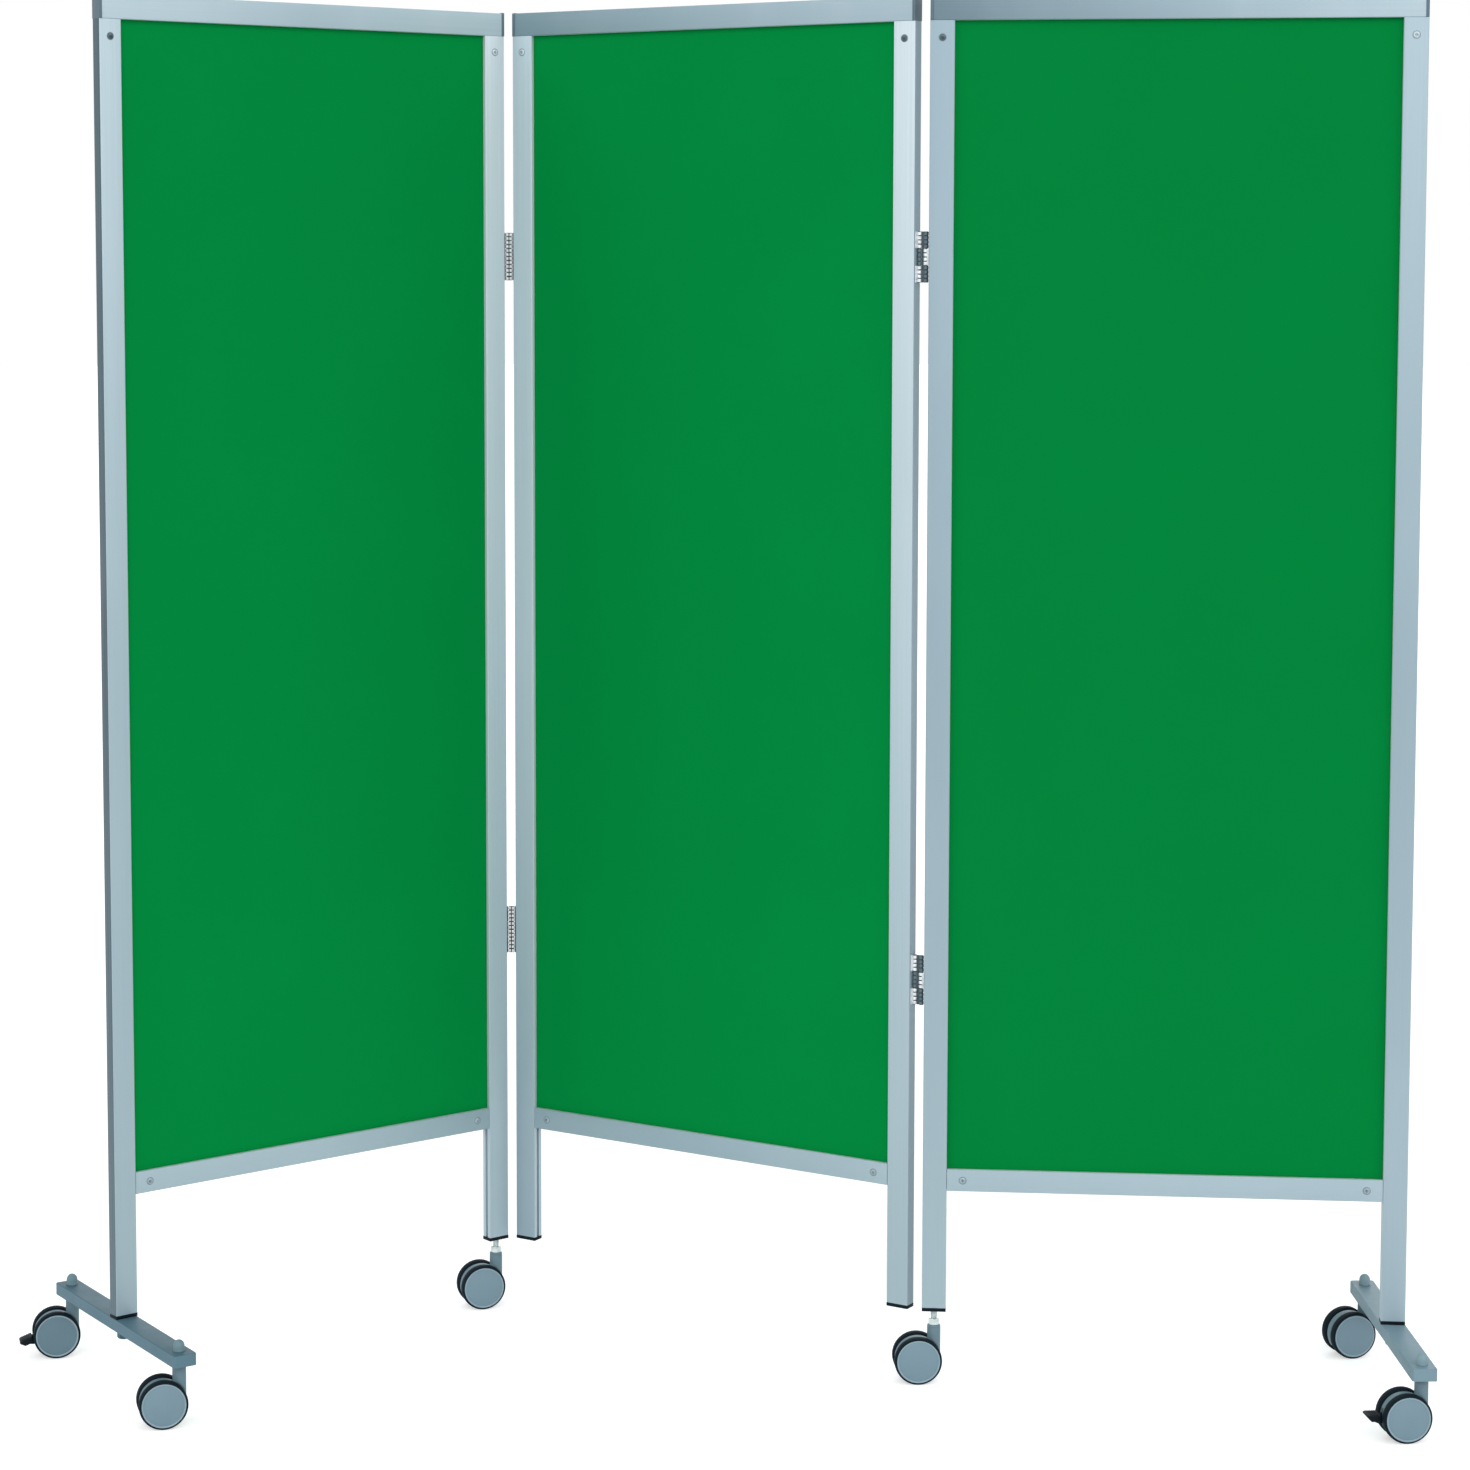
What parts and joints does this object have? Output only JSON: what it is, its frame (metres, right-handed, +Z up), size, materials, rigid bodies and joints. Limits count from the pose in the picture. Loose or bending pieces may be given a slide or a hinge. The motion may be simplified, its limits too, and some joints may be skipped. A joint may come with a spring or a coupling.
{
  "type": "ward privacy screen",
  "caption": "Free-standing folding ward screen: aluminium-framed leaves with flat washable infills, double-action hinges, cross feet and swivelling braked castors.",
  "frame": {"origin": "floor level, under the middle of the screen's plan bounding box in the half-folded rest pose", "axes": "+Z up; +Y away from the viewer, from the pictured front to the back; +X to the right along the screen's length"},
  "size_m": [1.7578, 0.5926, 1.7356],
  "materials": {
    "frame": "satin anodised, fine lengthwise grain",
    "infill": "flat washable laminate, fine even texture",
    "cap": "moulded black plastic",
    "castor_body": "moulded blue-grey nylon",
    "foot": "satin grey powder coat",
    "stem": "zinc plated",
    "hinge": "bright nickel plate",
    "wheel": "black tread, grey cover discs"
  },
  "bodies": {
    "middle_leaf": {"middle_leaf_left_upright": "frame", "middle_leaf_right_upright": "frame", "middle_leaf_top_rail": "frame", "middle_leaf_bottom_rail": "frame", "middle_leaf_infill": "infill", "middle_leaf_left_rail_cap": "cap", "middle_leaf_right_rail_cap": "cap", "middle_leaf_left_upright_cap": "cap", "middle_leaf_right_upright_cap": "cap", "left_upper_hinge_middle_leaf": "hinge", "left_lower_hinge_middle_leaf": "hinge", "right_upper_hinge_middle_leaf": "hinge", "right_lower_hinge_middle_leaf": "hinge", "left_upper_hinge_link": "hinge", "left_lower_hinge_link": "hinge", "right_upper_hinge_link": "hinge", "right_lower_hinge_link": "hinge"},
    "left_wing": {"left_wing_outer_upright": "frame", "left_wing_inner_upright": "frame", "left_wing_top_rail": "frame", "left_wing_bottom_rail": "frame", "left_wing_infill": "infill", "left_wing_outer_rail_cap": "cap", "left_wing_inner_rail_cap": "cap", "left_wing_inner_upright_cap": "cap", "left_upper_hinge_wing_leaf": "hinge", "left_lower_hinge_wing_leaf": "hinge", "left_foot_bar": "foot", "left_front_castor_stem": "castor_body", "left_rear_castor_stem": "castor_body", "left_inner_castor_stem": "stem"},
    "right_wing": {"right_wing_inner_upright": "frame", "right_wing_outer_upright": "frame", "right_wing_top_rail": "frame", "right_wing_bottom_rail": "frame", "right_wing_infill": "infill", "right_wing_inner_rail_cap": "cap", "right_wing_outer_rail_cap": "cap", "right_wing_inner_upright_cap": "cap", "right_upper_hinge_wing_leaf": "hinge", "right_lower_hinge_wing_leaf": "hinge", "right_foot_bar": "foot", "right_front_castor_stem": "castor_body", "right_rear_castor_stem": "castor_body", "right_inner_castor_stem": "stem"},
    "left_front_fork": {"left_front_castor_housing": "castor_body"},
    "left_front_wheels": {"left_front_castor_wheels": "wheel"},
    "left_rear_fork": {"left_rear_castor_housing": "castor_body"},
    "left_rear_wheels": {"left_rear_castor_wheels": "wheel"},
    "left_rear_pedal": {"left_rear_brake_pedal": "cap"},
    "left_inner_fork": {"left_inner_castor_housing": "castor_body"},
    "left_inner_wheels": {"left_inner_castor_wheels": "wheel"},
    "right_front_fork": {"right_front_castor_housing": "castor_body"},
    "right_front_wheels": {"right_front_castor_wheels": "wheel"},
    "right_front_pedal": {"right_front_brake_pedal": "cap"},
    "right_rear_fork": {"right_rear_castor_housing": "castor_body"},
    "right_rear_wheels": {"right_rear_castor_wheels": "wheel"},
    "right_inner_fork": {"right_inner_castor_housing": "castor_body"},
    "right_inner_wheels": {"right_inner_castor_wheels": "wheel"}
  },
  "joints": [
    {"name": "left_fold", "type": "hinge", "parent": "middle_leaf", "child": "left_wing", "pos_m": [-0.25401, 0.28716, 1], "axis": [0, 0, 1], "range_deg": [-120, 49.9]},
    {"name": "right_fold", "type": "hinge", "parent": "middle_leaf", "child": "right_wing", "pos_m": [0.27767, -0.04707, 1], "axis": [0, 0, 1], "range_deg": [-98.4, 58]},
    {"name": "left_front_swivel", "type": "hinge", "parent": "left_wing", "child": "left_front_fork", "pos_m": [-0.63632, -0.20672, 0.06], "axis": [0, 0, 1], "continuous": true},
    {"name": "left_front_roll", "type": "hinge", "parent": "left_front_fork", "child": "left_front_wheels", "pos_m": [-0.65667, -0.21191, 0.03], "axis": [-0.2468, 0.9691, 0], "continuous": true},
    {"name": "left_rear_swivel", "type": "hinge", "parent": "left_wing", "child": "left_rear_fork", "pos_m": [-0.80951, 0.06947, 0.06], "axis": [0, 0, 1], "continuous": true},
    {"name": "left_rear_roll", "type": "hinge", "parent": "left_rear_fork", "child": "left_rear_wheels", "pos_m": [-0.82997, 0.06475, 0.03], "axis": [-0.2248, 0.9744, 0], "continuous": true},
    {"name": "left_rear_brake", "type": "hinge", "parent": "left_rear_fork", "child": "left_rear_pedal", "pos_m": [-0.84751, 0.0607, 0.029], "axis": [-0.2248, 0.9744, 0], "range_deg": [0, 22]},
    {"name": "left_inner_swivel", "type": "hinge", "parent": "left_wing", "child": "left_inner_fork", "pos_m": [-0.26883, 0.27591, 0.06], "axis": [0, 0, 1], "continuous": true},
    {"name": "left_inner_roll", "type": "hinge", "parent": "left_inner_fork", "child": "left_inner_wheels", "pos_m": [-0.28897, 0.26995, 0.03], "axis": [-0.2838, 0.9589, 0], "continuous": true},
    {"name": "right_front_swivel", "type": "hinge", "parent": "right_wing", "child": "right_front_fork", "pos_m": [0.86304, -0.2716, 0.06], "axis": [0, 0, 1], "continuous": true},
    {"name": "right_front_roll", "type": "hinge", "parent": "right_front_fork", "child": "right_front_wheels", "pos_m": [0.84216, -0.2738, 0.03], "axis": [-0.1045, 0.9945, 0], "continuous": true},
    {"name": "right_front_brake", "type": "hinge", "parent": "right_front_fork", "child": "right_front_pedal", "pos_m": [0.82426, -0.27568, 0.029], "axis": [-0.1045, 0.9945, 0], "range_deg": [-22, 0]},
    {"name": "right_rear_swivel", "type": "hinge", "parent": "right_wing", "child": "right_rear_fork", "pos_m": [0.86304, 0.0544, 0.06], "axis": [0, 0, 1], "continuous": true},
    {"name": "right_rear_roll", "type": "hinge", "parent": "right_rear_fork", "child": "right_rear_wheels", "pos_m": [0.84258, 0.04968, 0.03], "axis": [-0.225, 0.9744, 0], "continuous": true},
    {"name": "right_inner_swivel", "type": "hinge", "parent": "right_wing", "child": "right_inner_fork", "pos_m": [0.29616, -0.04902, 0.06], "axis": [0, 0, 1], "continuous": true},
    {"name": "right_inner_roll", "type": "hinge", "parent": "right_inner_fork", "child": "right_inner_wheels", "pos_m": [0.27518, -0.04975, 0.03], "axis": [-0.0349, 0.9994, 0], "continuous": true}
  ]
}
